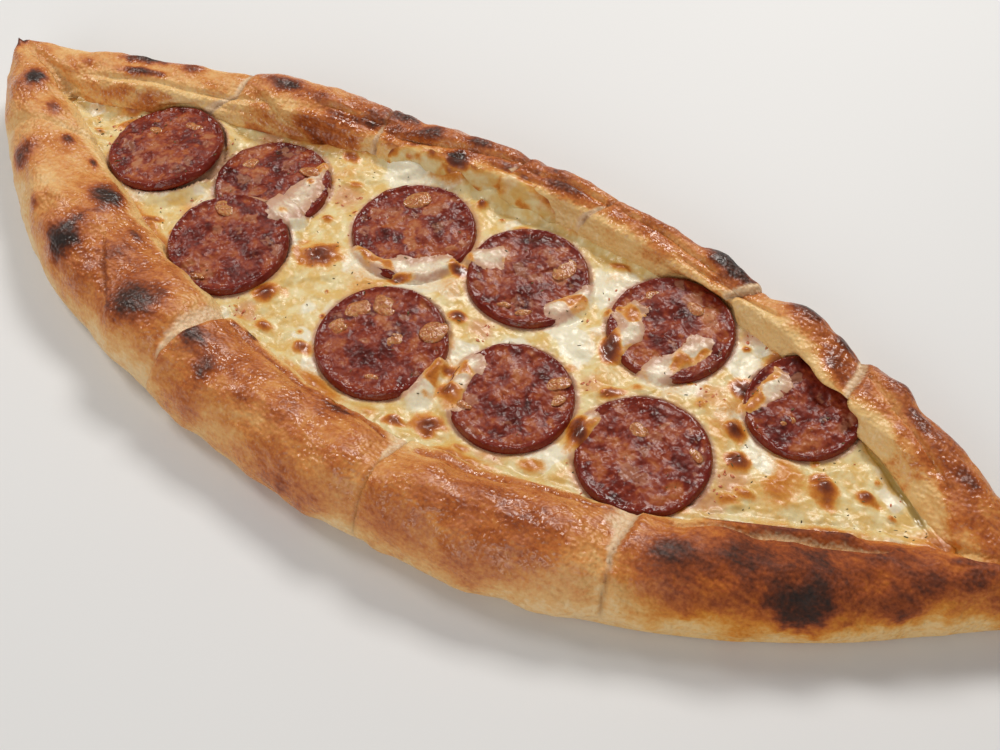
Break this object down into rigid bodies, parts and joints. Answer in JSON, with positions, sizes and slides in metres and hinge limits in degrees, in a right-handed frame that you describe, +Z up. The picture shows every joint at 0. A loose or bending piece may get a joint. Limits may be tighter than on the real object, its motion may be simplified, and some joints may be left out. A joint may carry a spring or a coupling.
{
  "type": "turkish flatbread boat with cheese and sausage slices",
  "caption": "Boat-shaped baked flatbread with a rolled, scored rim, pointed ends, a well of molten cheese and round slices of cured sausage.",
  "frame": {"origin": "centre of the bounding box, on the surface that the bread lies on", "axes": "+X along the bread from its blunt tip to its slim tip, +Y across it, +Z up"},
  "size_m": [0.42, 0.152, 0.0276],
  "materials": {
    "crust": "satin",
    "cheese": "satin",
    "sausage": "gloss"
  },
  "bodies": {
    "root": {"dough": "crust", "cheese": "cheese", "slice_01": "sausage", "slice_02": "sausage", "slice_03": "sausage", "slice_04": "sausage", "slice_05": "sausage", "slice_06": "sausage", "slice_07": "sausage", "slice_08": "sausage", "slice_09": "sausage", "slice_10": "sausage"}
  },
  "joints": []
}
